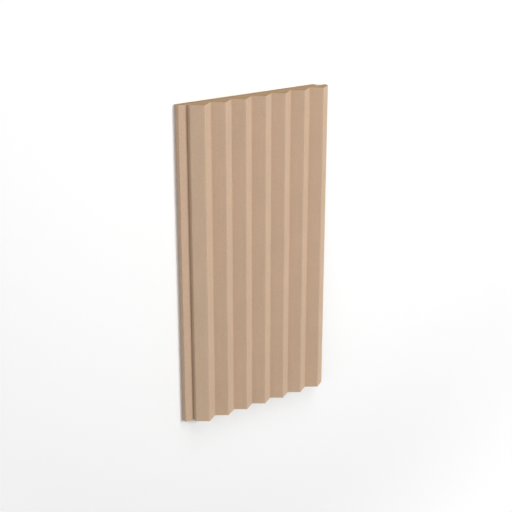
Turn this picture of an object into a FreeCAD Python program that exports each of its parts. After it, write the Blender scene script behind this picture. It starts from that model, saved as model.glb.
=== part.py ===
import FreeCAD
import Part

import math
import os

# A ship-lapped MDF wall panel with a row of V-shaped ribs along its length, machined from one board.
# It lies on its back: the back face is at Z = 0, the ribs point up (+Z) and run along Y. The under lap is
# on the -X side and the over lap on the +X side. Millimetres.

# Board
board_thickness = 25.0  # back face to rib crests
panel_length = 430.0

# Ribs
rib_count = 7
rib_pitch = 30.0  # crest to crest, across the panel
rib_depth = 10.2  # crest to groove bottom
crest_radius = 0.5  # sanded crest
root_radius = 0.4  # tip of the grooving cutter

# Lap joint with the next panel
under_lap_width = 12.6
under_lap_thickness = 8.8
face_gap = 0.8  # between the over lap's edge and the next panel's step, seen from the front
edge_clearance = 0.4  # between the under lap's edge and the next panel's rebate wall
lap_clearance = 0.4  # between the two laps, through the thickness

# Arrises
arris_radius = 0.4  # sanded outer arrises of both laps and of the back

# What follows from these sizes
cover_width = rib_count * rib_pitch  # from one panel to the next
panel_width = under_lap_width + cover_width - face_gap
rebate_wall_x = cover_width - edge_clearance
over_lap_underside = under_lap_thickness + lap_clearance
first_crest_x = under_lap_width + rib_pitch / 2


def flank_slope(half_pitch, depth, rounding):
    """Slope of a flank whose rounded crest and rounded root lie exactly depth apart."""
    rise = depth - rounding
    angle = math.atan2(rise, half_pitch) + math.asin(rounding / math.hypot(rise, half_pitch))
    return math.tan(angle)


slope = flank_slope(rib_pitch / 2, rib_depth, crest_radius + root_radius)
rounding_share = math.hypot(1.0, slope) - 1.0
sharp_crest = board_thickness + crest_radius * rounding_share
sharp_root = sharp_crest - slope * rib_pitch / 2
over_lap_top = sharp_crest - slope * (rib_pitch / 2 - face_gap)


def section_corners():
    """Corners of the cross-section as (x, z, radius), from the back's left corner round by the front."""
    corners = [
        (0.0, 0.0, arris_radius),
        (0.0, under_lap_thickness, arris_radius),
        (under_lap_width, under_lap_thickness, 0.0),
        (under_lap_width, sharp_root, arris_radius),
    ]
    for rib in range(rib_count):
        crest_x = first_crest_x + rib * rib_pitch
        corners.append((crest_x, sharp_crest, crest_radius))
        if rib < rib_count - 1:
            corners.append((crest_x + rib_pitch / 2, sharp_root, root_radius))
    corners += [
        (panel_width, over_lap_top, arris_radius),
        (panel_width, over_lap_underside, arris_radius),
        (rebate_wall_x, over_lap_underside, 0.0),
        (rebate_wall_x, 0.0, arris_radius),
    ]
    return corners


def rounded_corner(before, corner, after, radius):
    """Start, middle and end of the arc that rounds one corner of the section."""
    to_before = (before - corner).normalize()
    to_after = (after - corner).normalize()
    half_angle = to_before.getAngle(to_after) / 2
    reach = radius / math.tan(half_angle)
    inward = (to_before + to_after).normalize()
    middle = corner + inward * (radius / math.sin(half_angle) - radius)
    return corner + to_before * reach, middle, corner + to_after * reach


def section_wire(corners, y):
    """Closed outline of the section in the plane Y = y, centred across the panel's width."""
    points = [FreeCAD.Vector(x - panel_width / 2, y, z) for x, z, _ in corners]
    edges = []
    line_start = None
    first_point = None
    for i, (_, _, radius) in enumerate(corners):
        start = points[i]
        end = points[i]
        arc = None
        if radius > 0:
            after = points[(i + 1) % len(points)]
            start, middle, end = rounded_corner(points[i - 1], points[i], after, radius)
            arc = Part.Arc(start, middle, end).toShape()
        if line_start is None:
            first_point = start
        else:
            edges.append(Part.LineSegment(line_start, start).toShape())
        if arc is not None:
            edges.append(arc)
        line_start = end
    edges.append(Part.LineSegment(line_start, first_point).toShape())
    return Part.Wire(edges)


outline = section_wire(section_corners(), -panel_length / 2)
wall_panel = Part.Face(outline).extrude(FreeCAD.Vector(0, panel_length, 0))

os.makedirs("parts", exist_ok=True)
wall_panel.exportStep("parts/wall_panel.step")
box = wall_panel.BoundBox
print("wall_panel %.2f x %.2f x %.2f mm, volume %.0f mm3, valid %s" % (
    box.XLength, box.YLength, box.ZLength, wall_panel.Volume, wall_panel.isValid()))
print("solids %d, over lap top %.3f, sharp root %.3f, slope %.2f degrees" % (
    len(wall_panel.Solids), over_lap_top, sharp_root, math.degrees(math.atan(slope))))
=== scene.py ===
# %% [markdown]
# # A ribbed MDF wall panel
# The object is one length of wall panel, machined from a single board of MDF (wood fibres pressed flat
# with resin). Seven V-shaped ribs run along it. A thin under lap sticks out on one side and an over lap
# on the other, so that panels hook over each other on a wall. It lies here on its back, as it would in a
# stack.
#
# The CAD model already holds the exact section, so it is loaded first and everything is measured from it.

import math
import random

import bmesh
import bpy
from mathutils import Euler, Matrix, Vector, noise


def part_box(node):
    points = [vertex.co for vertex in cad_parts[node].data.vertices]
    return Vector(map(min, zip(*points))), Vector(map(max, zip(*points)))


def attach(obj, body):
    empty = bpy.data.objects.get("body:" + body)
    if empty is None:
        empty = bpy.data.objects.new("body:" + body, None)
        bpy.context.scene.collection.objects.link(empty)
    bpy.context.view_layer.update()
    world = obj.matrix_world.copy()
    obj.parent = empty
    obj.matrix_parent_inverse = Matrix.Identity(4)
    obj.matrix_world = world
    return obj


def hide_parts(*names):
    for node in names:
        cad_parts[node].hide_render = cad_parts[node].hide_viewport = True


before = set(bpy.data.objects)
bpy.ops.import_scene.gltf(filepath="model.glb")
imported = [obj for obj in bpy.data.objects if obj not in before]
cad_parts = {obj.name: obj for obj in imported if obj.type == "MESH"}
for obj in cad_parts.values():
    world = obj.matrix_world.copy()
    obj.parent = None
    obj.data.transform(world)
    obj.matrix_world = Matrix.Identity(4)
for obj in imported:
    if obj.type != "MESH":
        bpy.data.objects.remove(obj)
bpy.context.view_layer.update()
cad_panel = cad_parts["wall_panel"]
panel_low, panel_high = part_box("wall_panel")
panel_width, panel_length, board_thickness = panel_high - panel_low
MM = 0.001
print("panel in mm:", [round(side / MM, 1) for side in (panel_width, panel_length, board_thickness)])

# %% [markdown]
# ## Colours that come out as they are mixed
# The Standard view shows a surface of a certain colour as that colour when it is lit plainly. The look of
# the board then depends only on its finish and the lamps, and not on a film-like contrast curve. Colours
# below are written as shaders use them: linear red, green and blue from 0 to 1, and a last 1 for opaque.

# %% Plain colour view
bpy.context.scene.view_settings.view_transform = "Standard"
print("colours are shown by the", bpy.context.scene.view_settings.view_transform, "view")

# %% [markdown]
# ## The section of the panel
# A moulded panel has the same section along its whole length, so that section is all the shape there is.
# It could be typed in again as numbers, but then it might drift from the CAD model. Instead it is read
# off the CAD mesh: the rim of the flat end face is the section, with every rounded arris in it.


# %% Find the rim of an end face
SAME_POINT = 1e-7
ON_THE_END = 1e-5


def rim_neighbours(mesh, end_y):
    """For each corner on the rim of the end face at end_y, the two corners beside it along the rim."""
    end_faces = {face for face in mesh.faces if all(abs(v.co.y - end_y) < ON_THE_END for v in face.verts)}
    neighbours = {}
    for edge in mesh.edges:
        if sum(face in end_faces for face in edge.link_faces) == 1:
            a, b = edge.verts
            neighbours.setdefault(a, []).append(b)
            neighbours.setdefault(b, []).append(a)
    return neighbours


print("corners of the CAD mesh closer than %g mm count as one" % (SAME_POINT / MM))

# %% [markdown]
# The corners come in no useful order, so the second helper walks round the rim: from each corner it goes
# on to the neighbour that it didn't come from, until it is back at the start. The sign of the area then
# tells which way round it went, and an outline that runs clockwise is turned about.


# %% Read the section off the end of the CAD mesh
def section_outline(cad_object, end_y):
    """The rim of the end face at end_y, as a list of (x, z) points in order round the section."""
    mesh = bmesh.new()
    mesh.from_mesh(cad_object.data)
    bmesh.ops.remove_doubles(mesh, verts=mesh.verts, dist=SAME_POINT)
    mesh.verts.index_update()
    neighbours = rim_neighbours(mesh, end_y)
    start = min(neighbours, key=lambda corner: corner.index)
    walk = [start]
    came_from = None
    while True:
        ahead = [corner for corner in neighbours[walk[-1]] if corner is not came_from]
        came_from = walk[-1]
        if ahead[0] is start:
            break
        walk.append(ahead[0])
    outline = [Vector((corner.co.x, corner.co.z)) for corner in walk]
    mesh.free()
    area = sum(p.x * q.y - q.x * p.y for p, q in zip(outline, outline[1:] + outline[:1])) / 2
    return outline if area > 0 else outline[::-1]


outline = section_outline(cad_panel, panel_low.y)
print("points round the section:", len(outline))

# %% [markdown]
# ## Points along the flats
# The CAD rim has points only where the section turns. Long flats need points of their own before they can
# carry any unevenness, so each long stretch is divided evenly. Very short steps on the rounded arrises
# are thinned out, because a third of a millimetre of rounding looks round with four or five facets.


# %% Space the points evenly
CORNER_TURN = math.radians(20)
SHORTEST_STEP = 0.09 * MM
LONGEST_STEP = 3.0 * MM


def thinned(points, shortest):
    """Leaves out points that come sooner than shortest after the one before, but keeps real corners."""
    kept = [points[0]]
    for i in range(1, len(points)):
        after = points[(i + 1) % len(points)]
        turn = (points[i] - points[i - 1]).angle(after - points[i])
        if (points[i] - kept[-1]).length >= shortest or turn > CORNER_TURN:
            kept.append(points[i])
    return kept


def divided(points, longest):
    """Adds evenly spaced points wherever two neighbours are further apart than longest."""
    spaced = []
    for p, q in zip(points, points[1:] + points[:1]):
        steps = max(1, math.ceil((q - p).length / longest))
        spaced += [p.lerp(q, step / steps) for step in range(steps)]
    return spaced


section = divided(thinned(outline, SHORTEST_STEP), LONGEST_STEP)
print("points after spacing:", len(section))

# %% [markdown]
# ## Where the board has been touched
# After the cutters, a machinist runs a sanding block along the crests, which takes off the fuzz and
# blunts them by hand, never quite evenly. The flats keep the long, shallow waves that feed rollers leave.
# To make both, each point of the section needs two things: the direction into the board, and whether it
# is on a crest.


# %% Find the crests and the direction into the board
CREST_HEIGHT = 0.2 * MM


def inward(points, i):
    """Direction from point i into the board."""
    along = (points[(i + 1) % len(points)] - points[i - 1]).normalized()
    return Vector((-along.y, along.x))


def on_crest(point):
    """True on the rounded top of a rib."""
    return point.y > board_thickness - CREST_HEIGHT


inwards = [inward(section, i) for i in range(len(section))]
crest_points = [on_crest(point) for point in section]
print("points on the crests:", sum(crest_points))

# %% [markdown]
# A panel that has been carried and stacked also has a few small bruises on its crests, because MDF
# crushes easily there. Each one is a shallow hollow a few millimetres long. They are placed by a random
# generator with a fixed seed, so they land in the same places every time the script runs.

# %% Find the line of each crest
NEXT_CREST = 5 * MM
crest_lines = []
for point in section:
    if on_crest(point) and all(abs(point.x - x) > NEXT_CREST for x in crest_lines):
        crest_lines.append(point.x)
print("ribs:", len(crest_lines))

# %% [markdown]
# Each crest gets none, one or two bruises, and one is twice as likely as either of the others. A bruise is
# a small record of where it is, how long and how deep. With all of them in a list, the depth can be worked
# out later for any point of the surface.

# %% Place the bruises on the crests
BRUISES_PER_CREST = (0, 1, 1, 2)
SHORT_BRUISE, LONG_BRUISE = 1.5 * MM, 4.0 * MM  # half the length
SHALLOW_BRUISE, DEEP_BRUISE = 0.08 * MM, 0.25 * MM
chance = random.Random(11)
bruises = []
for crest_x in crest_lines:
    for _ in range(chance.choice(BRUISES_PER_CREST)):
        bruises.append(
            {
                "x": crest_x,
                "y": chance.uniform(panel_low.y, panel_high.y),
                "half_length": chance.uniform(SHORT_BRUISE, LONG_BRUISE),
                "depth": chance.uniform(SHALLOW_BRUISE, DEEP_BRUISE),
            }
        )
print("bruises:", len(bruises))

# %% [markdown]
# All the wear is one number for each place: how much has come off. The flats have long shallow waves,
# which a smooth noise gives. The crests have more, because a hand presses harder here than there, and
# then the bruises, whose hollow is deepest in the middle and fades to nothing at both ends.


# %% How far each point lies below its ideal place
WAVE_DEPTH = 0.018 * MM
WAVES_PER_METRE = Vector((22, 9, 22))
SANDED_DEPTH = 0.05 * MM
SANDING_PER_METRE = Vector((40, 30))
ALWAYS_SANDED = 0.2
SANDING_LAYER = 3.7  # a slice of the noise that the waves do not use
BRUISE_HALF_WIDTH = 2 * MM


def worn_depth(point, y, crest):
    """Depth taken off the surface at this place, in metres."""
    wave = noise.noise(Vector((point.x, y, point.y)) * WAVES_PER_METRE)
    depth = WAVE_DEPTH * (1 + wave)
    if crest:
        hand = noise.noise(Vector((point.x * SANDING_PER_METRE.x, y * SANDING_PER_METRE.y, SANDING_LAYER)))
        depth += SANDED_DEPTH * max(0.0, hand + ALWAYS_SANDED)
        for bruise in bruises:
            away = abs(y - bruise["y"]) / bruise["half_length"]
            if abs(point.x - bruise["x"]) < BRUISE_HALF_WIDTH and away < 1:
                depth += bruise["depth"] * (1 - away**2) ** 2
    return depth


print("depth in the middle of the back, in mm: %.3f" % (worn_depth(Vector((0, 0)), 0.0, False) / MM))

# %% [markdown]
# ## Sweep the section along the panel
# The board is made as it is machined: the section goes from one end to the other in small steps. Each
# step copies the section, moved inwards by the wear at that place, and neighbouring copies are joined by
# faces. A copy every two and a half millimetres is close enough to show the bruises. Each end is closed
# by one flat face.


# %% Build the board
SHARP_FROM = math.radians(32)


def swept_board(name, points, rows):
    """Mesh object with the section at every y in rows, closed at both ends."""
    mesh = bmesh.new()
    rings = []
    for y in rows:
        ring = []
        for point, into, crest in zip(points, inwards, crest_points):
            moved = point + into * worn_depth(point, y, crest)
            ring.append(mesh.verts.new((moved.x, y, moved.y)))
        rings.append(ring)
    count = len(points)
    for near, far in zip(rings, rings[1:]):
        for i in range(count):
            j = (i + 1) % count
            mesh.faces.new((near[i], near[j], far[j], far[i])).smooth = True
    mesh.faces.new(rings[0][::-1])
    mesh.faces.new(rings[-1])
    bmesh.ops.recalc_face_normals(mesh, faces=mesh.faces)
    data = bpy.data.meshes.new(name)
    mesh.to_mesh(data)
    mesh.free()
    data.set_sharp_from_angle(angle=SHARP_FROM)
    board = bpy.data.objects.new(name, data)
    bpy.context.scene.collection.objects.link(board)
    return board


# %% [markdown]
# The rows are spread evenly from one end to the other, so both ends land exactly on the ends of the CAD
# panel. The shading breaks only where two faces turn by more than 32 degrees, as at the sawn ends and in
# the square corners of the laps. It runs smoothly over the small arcs of the crests and arrises.

# %% Sweep it from end to end
ROW_SPACING = 2.5 * MM
row_count = round(panel_length / ROW_SPACING) + 1
rows = [panel_low.y + panel_length * i / (row_count - 1) for i in range(row_count)]
board = swept_board("ribbed_board", section, rows)
print("faces in the board:", len(board.data.polygons))

# %% [markdown]
# The finish of the crests will differ a little from the flats, so the mesh has to say where the crests
# are. A number stored on each point does that: 1 on a sanded crest and 0 elsewhere. The points were made
# ring by ring, so the list for one ring is simply repeated.

# %% Store where the sanding block went
sanded = board.data.attributes.new("sanded", "FLOAT", "POINT")
sanded.data.foreach_set("value", [float(crest) for crest in crest_points] * row_count)
print("points marked as sanded:", sum(crest_points) * row_count)

# %% [markdown]
# ## Helpers for the finishes
# A procedural material is a small network of nodes. A few short helpers keep the cells readable: one
# starts a material, one adds a node and sets its inputs, and the others make the patterns that each
# finish needs. All patterns are placed by coordinates on the board, so they stay fixed to it.


# %% Start a material and add nodes
def new_finish(name):
    """Starts a material and returns it with its node tree and its Principled shader."""
    finish = bpy.data.materials.new(name)
    finish.use_nodes = True
    return finish, finish.node_tree, finish.node_tree.nodes["Principled BSDF"]


def add_node(tree, kind, settings=None, **inputs):
    """Adds a node. Inputs take numbers or outputs of other nodes; an underscore stands for a space."""
    node = tree.nodes.new(kind)
    for key, value in (settings or {}).items():
        setattr(node, key, value)
    for key, value in inputs.items():
        connect(tree, node.inputs[key.replace("_", " ")], value)
    return node


def connect(tree, socket, value):
    """Links an output to a socket, or writes a plain value into it."""
    if isinstance(value, bpy.types.NodeSocket):
        tree.links.new(value, socket)
    else:
        socket.default_value = value


print("node helpers ready")

# %% [markdown]
# Most of what gives a plain board its look is random and fine. One helper gives coordinates on the board,
# stretched or turned, so that the same noise can draw round flecks, long scratches or thin layers. Two
# more draw the noise itself, as soft clouds or as scattered points. Finenesses are in repeats to the
# metre.


# %% Patterns
def stretched(tree, across=1, along=1, up=1, turn=0):
    """Coordinates on the board scaled per axis: a larger number gives a finer pattern that way. The pattern
    can also be turned about the upright axis, by a number of degrees."""
    place = add_node(tree, "ShaderNodeTexCoord").outputs["Object"]
    if turn:
        turned = (0, 0, math.radians(turn))
        place = add_node(tree, "ShaderNodeMapping", Vector=place, Rotation=turned).outputs["Vector"]
    return add_node(tree, "ShaderNodeMapping", Vector=place, Scale=(across, along, up)).outputs["Vector"]


def speckle(tree, coordinates, per_metre=1, detail=2.0, roughness=0.5):
    """A soft random pattern, from 0 to 1."""
    inputs = {"Vector": coordinates, "Scale": per_metre, "Detail": detail, "Roughness": roughness}
    return add_node(tree, "ShaderNodeTexNoise", **inputs).outputs["Fac"]


def cells(tree, coordinates, per_metre):
    """Distance to the nearest of many scattered points, for specks and pits."""
    return add_node(tree, "ShaderNodeTexVoronoi", Vector=coordinates, Scale=per_metre).outputs["Distance"]


print("pattern helpers ready")

# %% [markdown]
# A pattern is only a number at each point. These helpers turn it into a finish: a ramp makes it lighter
# and darker shades, and the shades multiply the board's own colour. Random patterns rarely leave the
# range from 0.3 to 0.7, so most ramps have their two ends there. A pattern can also be read as height,
# which tilts the surface a little.


# %% Colour and relief from patterns
def grey(level):
    """A neutral colour of this brightness."""
    return (level, level, level, 1.0)


def ramp(tree, pattern, stops):
    """Turns a pattern into shades of grey. stops is a list of (position, brightness)."""
    node = add_node(tree, "ShaderNodeValToRGB", Fac=pattern)
    points = node.color_ramp.elements
    while len(points) < len(stops):
        points.new(1.0)
    for point, (position, brightness) in zip(points, stops):
        point.position = position
        point.color = grey(brightness)
    return node.outputs["Color"]


def mixed(tree, blend, amount, first, second):
    """Mixes two colours; blend is MIX, MULTIPLY and so on."""
    node = add_node(tree, "ShaderNodeMix", {"data_type": "RGBA", "blend_type": blend})
    for index, value in ((0, amount), (6, first), (7, second)):
        connect(tree, node.inputs[index], value)
    return node.outputs[2]


def shaded(tree, colour, pattern, stops):
    """The colour, made lighter and darker by a pattern."""
    return mixed(tree, "MULTIPLY", 1.0, colour, ramp(tree, pattern, stops))


def raised(tree, height, depth, strength, below=None):
    """Relief from a pattern: depth is its real height in metres, and below is the relief it lies on."""
    inputs = {"Height": height, "Distance": depth, "Strength": strength}
    if below is not None:
        inputs["Normal"] = below
    return add_node(tree, "ShaderNodeBump", **inputs).outputs["Normal"]


print("colour and relief helpers ready")

# %% [markdown]
# ## The machined face
# A cutter opens the middle of the board, where the fibres are pale, short and matted. Close up, the
# surface is a fine felt of light strands with a few dark specks of bark, and the cutter draws faint lines
# along the ribs. The tan itself is nearly uniform, so every pattern only shifts it a little. Image
# textures would show this too, but node patterns stay sharp at any distance.

# %% Machined face: felt, clouds and feed lines
FACE_TAN = (0.602, 0.438, 0.310, 1.0)
machined_face, tree, shader = new_finish("machined_mdf")
even = stretched(tree)
fibres = speckle(tree, even, per_metre=850, detail=5, roughness=0.65)
clouds = speckle(tree, even, per_metre=28)
feed_lines = speckle(tree, stretched(tree, across=1400, along=14, up=1400))

colour = shaded(tree, FACE_TAN, fibres, [(0.3, 0.95), (0.7, 1.045)])
colour = shaded(tree, colour, clouds, [(0.3, 0.98), (0.7, 1.02)])
colour = shaded(tree, colour, feed_lines, [(0.3, 0.975), (0.7, 1.02)])
print("nodes so far:", len(tree.nodes))

# %% [markdown]
# Look closely, and single strands can be picked out of the felt. They are a few millimetres long and lie
# every way, some paler and some darker than the rest. A random pattern pulled out long in one direction
# gives a set of them, once only its highest and lowest values count. Three such sets at different angles
# cross like matted hair.

# %% Machined face: single strands
for turn in (20, 80, 140):
    long_shapes = speckle(tree, stretched(tree, across=1500, along=260, up=1500, turn=turn), detail=1)
    colour = shaded(tree, colour, long_shapes, [(0.28, 0.94), (0.4, 1.0), (0.6, 1.0), (0.7, 1.06)])
print("nodes so far:", len(tree.nodes))

# %% [markdown]
# Bark specks are what tells MDF from plain brown card. They are small, dark and far apart. Scattered
# points give their places, and a second, larger pattern wipes most of them out again, so that they gather
# in loose groups. The sanded crests come out a shade paler, because the block lifts the fibres there.

# %% Machined face: bark specks and sanded crests
BARK_BROWN = (0.33, 0.205, 0.13, 1.0)
specks = ramp(tree, cells(tree, even, per_metre=330), [(0.05, 1.0), (0.16, 0.0)])
groups = ramp(tree, speckle(tree, even, per_metre=160), [(0.58, 0.0), (0.66, 0.5)])
colour = mixed(tree, "MIX", mixed(tree, "MULTIPLY", 1.0, specks, groups), colour, BARK_BROWN)

crest_marks = add_node(tree, "ShaderNodeAttribute", {"attribute_name": "sanded"}).outputs["Fac"]
colour = shaded(tree, colour, crest_marks, [(0.0, 1.0), (1.0, 1.03)])
connect(tree, shader.inputs["Base Color"], colour)
print("nodes so far:", len(tree.nodes))

# %% [markdown]
# Bare MDF has no gloss at all. What little shine it has is broken up by the felt, so roughness follows
# the fibres. The relief has two layers, both far too fine for the mesh: the even ripple that the knives
# leave across the feed, a hundredth of a millimetre high, and the felt on top of it.

# %% Machined face: dullness and relief
KNIFE_SPACING = 1.8 * MM
WAVES_PER_UNIT = 20 / (2 * math.pi)  # what the wave texture draws at a scale of 1
connect(tree, shader.inputs["Roughness"], ramp(tree, fibres, [(0.2, 0.82), (0.8, 0.95)]))
shader.inputs["Specular IOR Level"].default_value = 0.25
shader.inputs["Diffuse Roughness"].default_value = 0.5

knife_marks = add_node(
    tree,
    "ShaderNodeTexWave",
    {"wave_type": "BANDS", "bands_direction": "Y"},
    Vector=even,
    Scale=1 / (KNIFE_SPACING * WAVES_PER_UNIT),
    Distortion=0.6,
    Detail=1.0,
).outputs["Fac"]
ripple = raised(tree, knife_marks, 0.008 * MM, 0.4)
connect(tree, shader.inputs["Normal"], raised(tree, fibres, 0.05 * MM, 0.35, below=ripple))
print("nodes in the machined face:", len(tree.nodes))

# %% [markdown]
# ## The sawn ends
# A saw cuts across the layers of pressed fibres. The ends drink in light and look browner than the face.
# They are denser and darker near the two pressed faces, open and paler in the core, and show fine lines
# parallel to the board. The height above the back picks the layer, and a pattern squashed in that
# direction draws the lines.

# %% Sawn ends: layers and lines
END_BROWN = (0.418, 0.268, 0.149, 1.0)
sawn_end, tree, shader = new_finish("sawn_mdf")
even = stretched(tree)
height = stretched(tree, across=0, along=0, up=1 / board_thickness)
layer_height = add_node(tree, "ShaderNodeSeparateXYZ", Vector=height).outputs["Z"]
layers = speckle(tree, stretched(tree, across=90, along=90, up=2600), detail=3, roughness=0.6)

density = [(0.0, 0.86), (0.12, 0.95), (0.35, 1.03), (0.7, 1.03), (0.97, 0.9)]
colour = shaded(tree, END_BROWN, layer_height, density)
colour = shaded(tree, colour, layers, [(0.3, 0.9), (0.7, 1.07)])
print("nodes so far:", len(tree.nodes))

# %% [markdown]
# Up close the cut is rougher than the face. Torn strands make it mottled, small pits open where a bundle
# was pulled out, and the saw's teeth leave upright strokes. Each shows in the colour and again, faintly,
# as relief.

# %% Sawn ends: strands, strokes and pits
strands = speckle(tree, even, per_metre=950, detail=4, roughness=0.65)
strokes = speckle(tree, stretched(tree, across=700, along=1, up=25), detail=1)
colour = shaded(tree, colour, strands, [(0.3, 0.92), (0.7, 1.07)])
colour = shaded(tree, colour, strokes, [(0.35, 0.97), (0.65, 1.02)])
colour = shaded(tree, colour, cells(tree, even, per_metre=800), [(0.1, 0.83), (0.2, 1.0)])
connect(tree, shader.inputs["Base Color"], colour)

connect(tree, shader.inputs["Roughness"], ramp(tree, strands, [(0.2, 0.88), (0.8, 0.98)]))
shader.inputs["Specular IOR Level"].default_value = 0.2
shader.inputs["Diffuse Roughness"].default_value = 0.6
relief = raised(tree, strokes, 0.05 * MM, 0.3)
relief = raised(tree, layers, 0.06 * MM, 0.4, below=relief)
connect(tree, shader.inputs["Normal"], raised(tree, strands, 0.06 * MM, 0.4, below=relief))
print("nodes in the sawn ends:", len(tree.nodes))

# %% [markdown]
# ## The sanded back
# The back is the board as the mill sells it: pressed hard, then sanded on a wide belt. It is smoother, a
# little greyer and flatter in colour than the machined side. Belt scratches run along it, and larger
# bundles of fibre show as faint blotches, because nothing has been cut away to hide them.

# %% Sanded back
BACK_TAN = (0.50, 0.375, 0.265, 1.0)
sanded_back, tree, shader = new_finish("sanded_mdf")
bundles = speckle(tree, stretched(tree, across=260, along=170, up=260), detail=4, roughness=0.6)
fibres = speckle(tree, stretched(tree), per_metre=1100, detail=3, roughness=0.6)
scratches = speckle(tree, stretched(tree, across=2600, along=9, up=2600))

colour = shaded(tree, BACK_TAN, bundles, [(0.3, 0.9), (0.7, 1.08)])
colour = shaded(tree, colour, fibres, [(0.3, 0.95), (0.7, 1.04)])
colour = shaded(tree, colour, scratches, [(0.3, 0.96), (0.7, 1.03)])
connect(tree, shader.inputs["Base Color"], colour)
connect(tree, shader.inputs["Roughness"], ramp(tree, scratches, [(0.3, 0.62), (0.7, 0.74)]))
shader.inputs["Specular IOR Level"].default_value = 0.3
connect(tree, shader.inputs["Normal"], raised(tree, scratches, 0.02 * MM, 0.25))
print("nodes in the sanded back:", len(tree.nodes))

# %% [markdown]
# ## Put each finish where its tool went
# Which finish a face gets follows from where it lies. The two end faces are sawn, the faces on the plane
# of the back are sanded, and everything else met a cutter.

# %% Hand out the finishes
for finish in (machined_face, sawn_end, sanded_back):
    board.data.materials.append(finish)

MACHINED, SAWN, SANDED = 0, 1, 2
SQUARE_ON = 0.9
NEAR_THE_BACK = 1 * MM
counts = [0, 0, 0]
for face in board.data.polygons:
    if abs(face.normal.y) > SQUARE_ON:
        face.material_index = SAWN
    elif face.normal.z < -SQUARE_ON and face.center.z < NEAR_THE_BACK:
        face.material_index = SANDED
    else:
        face.material_index = MACHINED
    counts[face.material_index] += 1
print("machined, sawn and sanded faces:", counts)

# %% [markdown]
# ## Tie the board to the CAD model
# The detailed board stands in for the plain CAD solid, which stays behind the scenes for the physics. It
# rides on the panel's only body, so it goes wherever the body goes.

# %% Ride on the body and replace the plain solid
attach(board, "root")
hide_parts("wall_panel")
print("the board replaces", cad_panel.name)

# %% [markdown]
# ## A white floor that keeps a shadow
# The panel lies on a plain white floor. To the camera the floor is fully white, so open floor comes out
# white and only the soft shadow beside the board shows. To light bouncing about it is a little darker, as
# real paint is. It still throws enough back to brighten the board's two long edges.

# %% Floor
FLOOR_HALF_SIDE = 6.0
floor_mesh = bpy.data.meshes.new("floor")
quarters = ((-1, -1), (1, -1), (1, 1), (-1, 1))
corners = [(x * FLOOR_HALF_SIDE, y * FLOOR_HALF_SIDE, 0) for x, y in quarters]
floor_mesh.from_pydata(corners, [], [(0, 1, 2, 3)])
floor = bpy.data.objects.new("floor", floor_mesh)
bpy.context.scene.collection.objects.link(floor)

floor_paint, floor_tree, floor_shader = new_finish("floor_paint")
ray = add_node(floor_tree, "ShaderNodeLightPath")
FLOOR_BOUNCE = 0.95
floor_colour = mixed(floor_tree, "MIX", ray.outputs["Is Camera Ray"], grey(FLOOR_BOUNCE), grey(1.0))
connect(floor_tree, floor_shader.inputs["Base Color"], floor_colour)
floor_shader.inputs["Roughness"].default_value = 1.0
floor_shader.inputs["Specular IOR Level"].default_value = 0.0
print("floor is", 2 * FLOOR_HALF_SIDE, "metres wide")

# %% [markdown]
# The lamps fade far from the board, and the floor would turn grey there. A brighter lamp would spoil the
# board, so the camera sees the distant floor as plain white instead. The two are blended by the distance
# from the middle of the board, well clear of its shadow.

# %% Blend the distant floor to white
BLEND_FROM = 0.36
BLEND_TO = 0.75
floor_place = add_node(floor_tree, "ShaderNodeTexCoord").outputs["Object"]
from_middle = add_node(floor_tree, "ShaderNodeVectorMath", {"operation": "LENGTH"})
connect(floor_tree, from_middle.inputs[0], floor_place)
far = add_node(
    floor_tree,
    "ShaderNodeMapRange",
    {"interpolation_type": "SMOOTHSTEP"},
    Value=from_middle.outputs["Value"],
    From_Min=BLEND_FROM,
    From_Max=BLEND_TO,
).outputs["Result"]
far_and_seen = add_node(floor_tree, "ShaderNodeMath", {"operation": "MULTIPLY"})
connect(floor_tree, far_and_seen.inputs[0], far)
connect(floor_tree, far_and_seen.inputs[1], ray.outputs["Is Camera Ray"])
plain_white = add_node(floor_tree, "ShaderNodeEmission", Color=grey(1.0), Strength=1.0)
either = add_node(floor_tree, "ShaderNodeMixShader", Fac=far_and_seen.outputs["Value"])
connect(floor_tree, either.inputs[1], floor_shader.outputs["BSDF"])
connect(floor_tree, either.inputs[2], plain_white.outputs["Emission"])
connect(floor_tree, floor_tree.nodes["Material Output"].inputs["Surface"], either.outputs["Shader"])
floor.data.materials.append(floor_paint)
print("floor turns white between", BLEND_FROM, "and", BLEND_TO, "metres out")

# %% [markdown]
# ## Light
# A ribbed face is read by its shading: the flanks that lean towards the light are pale, the others a tone
# darker, and the step beside the under lap is a thin dark line with a narrow shadow at its foot. One soft
# lamp high up, a little to the right, makes all of these. Four weak fills reach the two ends and the two
# long edges, and an even grey sky reaches the rest. Together they light a level surface to about one, so
# a colour comes out as mixed.

# %% Sky
SKY_LEVEL = 0.18
sky = bpy.data.worlds.new("sky")
bpy.context.scene.world = sky
sky.use_nodes = True
sky_tree = sky.node_tree
backdrop = sky_tree.nodes["Background"]
sky_ray = add_node(sky_tree, "ShaderNodeLightPath")
sky_colour = mixed(sky_tree, "MIX", sky_ray.outputs["Is Camera Ray"], grey(SKY_LEVEL), grey(1.0))
connect(sky_tree, backdrop.inputs["Color"], sky_colour)
print("sky level:", SKY_LEVEL)

# %% [markdown]
# Each lamp is a round panel that gives light with soft edges, like a studio softbox. All of them point at
# the middle of the board, so a direction, a distance, a size and a power say everything about one. The
# larger the panel, the softer its shadow: the main lamp is the smallest, and the fills hardly throw a
# shadow at all.


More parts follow.
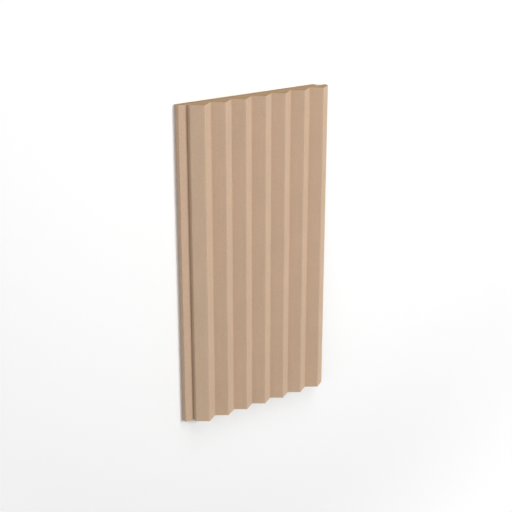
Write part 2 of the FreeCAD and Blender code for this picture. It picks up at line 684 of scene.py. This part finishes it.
# %% Lamps
def soft_lamp(name, direction, distance, size, watts):
    """A round soft lamp that shines at the middle of the panel from this direction."""
    towards = Vector(direction).normalized()
    data = bpy.data.lights.new(name, "AREA")
    data.shape = "DISK"
    data.size = size
    data.energy = watts
    lamp = bpy.data.objects.new(name, data)
    lamp.location = towards * distance
    lamp.rotation_euler = towards.to_track_quat("Z", "Y").to_euler()
    bpy.context.scene.collection.objects.link(lamp)
    print(name, "at", [round(c, 2) for c in lamp.location])


soft_lamp("main_lamp", (0.28, 0.23, 0.93), distance=2.0, size=0.7, watts=23.8)
soft_lamp("upper_end_fill", (0.1, 0.85, 0.5), distance=2.2, size=1.6, watts=15.6)
soft_lamp("lower_end_fill", (0.1, -0.92, 0.36), distance=2.2, size=1.6, watts=5.2)
soft_lamp("left_fill", (-0.85, 0.1, 0.5), distance=2.2, size=1.6, watts=9.7)
soft_lamp("right_fill", (0.95, 0.05, 0.28), distance=2.2, size=1.4, watts=3.8)

# %% [markdown]
# ## Camera
# The panel is best seen from its under-lap side, a little from above its upper end, as a buyer sees it
# standing against a wall. It is easiest to set the camera for the standing panel first: turned towards
# the wall, tipped slightly down, with level sides. Laying panel and camera down together, a quarter turn
# about the X axis, then gives the same view of the panel on the floor.

# %% Camera
VIEW_TURN = math.radians(34.02)
VIEW_TIP = math.radians(20.57)
LENS_ON_36_MM = 79.49
camera_data = bpy.data.cameras.new("camera")
camera_data.sensor_width = 36.0
camera_data.lens = LENS_ON_36_MM
camera = bpy.data.objects.new("camera", camera_data)
bpy.context.scene.collection.objects.link(camera)
bpy.context.scene.camera = camera

LEFT_OF_IT, IN_FRONT, ABOVE_MIDDLE = 1.8161, 2.7186, 1.2172  # in panel lengths
standing_place = Vector((-LEFT_OF_IT, -IN_FRONT, ABOVE_MIDDLE)) * panel_length
standing_view = Matrix.Translation(standing_place) @ Euler(
    (math.radians(90) - VIEW_TIP, 0, -VIEW_TURN), "XYZ"
).to_matrix().to_4x4()
camera.matrix_world = Matrix.Rotation(math.radians(-90), 4, "X") @ standing_view
print("camera at", [round(c, 3) for c in camera.matrix_world.translation])
